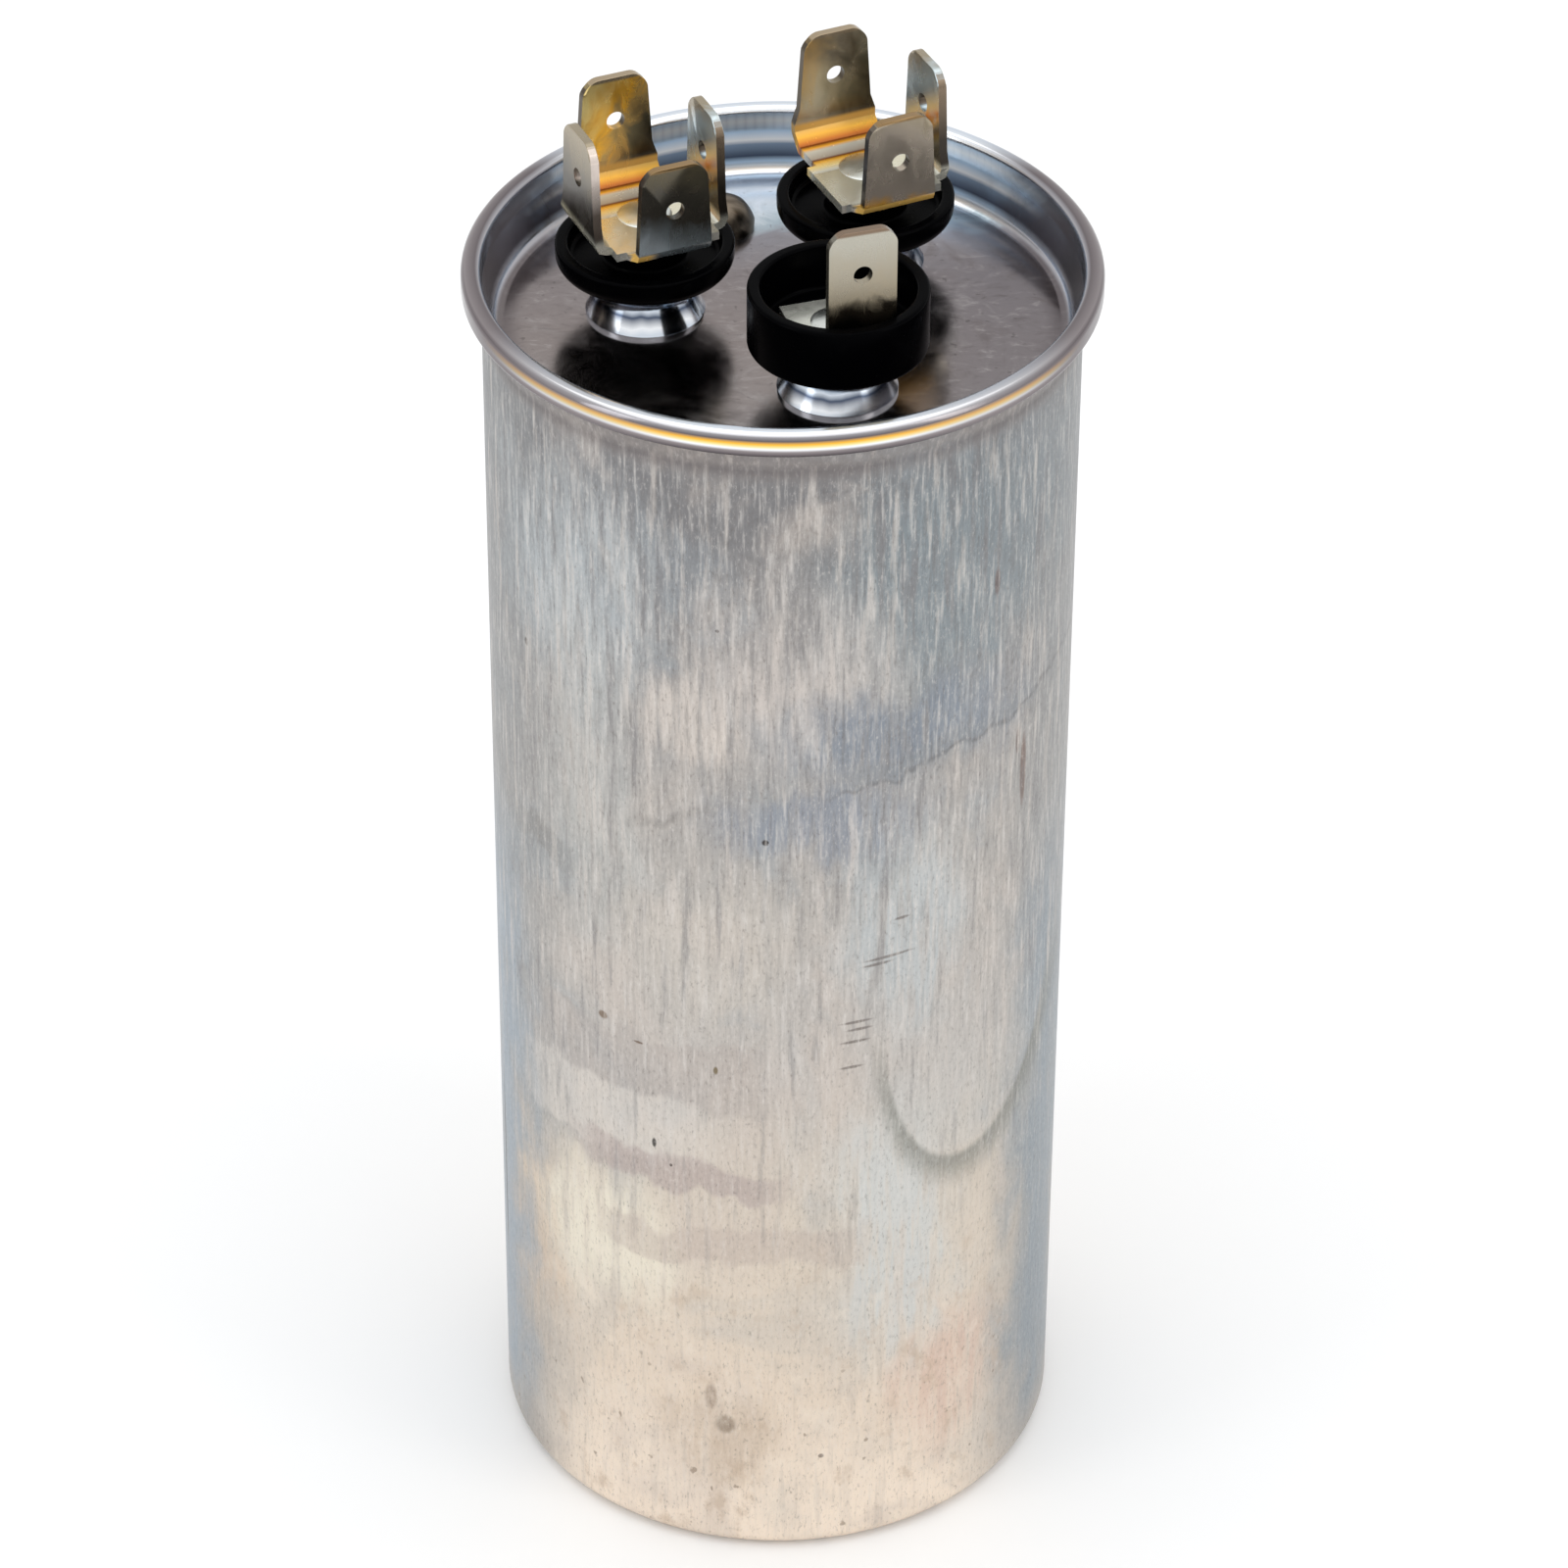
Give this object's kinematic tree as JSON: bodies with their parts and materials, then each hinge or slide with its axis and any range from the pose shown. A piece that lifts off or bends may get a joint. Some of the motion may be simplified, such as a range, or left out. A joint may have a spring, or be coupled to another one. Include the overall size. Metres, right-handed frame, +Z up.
{
  "type": "motor run capacitor",
  "caption": "Round dual motor run capacitor: drawn metal can with a rolled seam, sunk lid, blade terminals on black insulating cups and a solder plug.",
  "frame": {"origin": "centre of the can's flat floor", "axes": "+Z up along the can's axis to the terminals, -Y to the front of the picture, +X to its right"},
  "size_m": [0.0586, 0.0586, 0.1476],
  "materials": {
    "can": "dull drawn aluminium",
    "lid": "polished tinplate",
    "fill_plug": "solder",
    "cup": "black semi-gloss",
    "terminal": "tin plated brass",
    "rivet": "plated steel",
    "washer": "moulded insulator",
    "lead": "tinned copper ribbon",
    "winding": "metallised film",
    "card": "pressed card"
  },
  "bodies": {
    "root": {"can": "can", "lid": "lid", "fill_plug": "fill_plug", "common_cup": "cup", "common_terminal": "terminal", "common_rivet": "rivet", "common_washer": "washer", "common_lead": "lead", "compressor_cup": "cup", "compressor_terminal": "terminal", "compressor_rivet": "rivet", "compressor_washer": "washer", "compressor_lead": "lead", "fan_cup": "cup", "fan_terminal": "terminal", "fan_rivet": "rivet", "fan_washer": "washer", "fan_lead": "lead", "film_winding": "winding", "insulating_card": "card"}
  },
  "joints": []
}
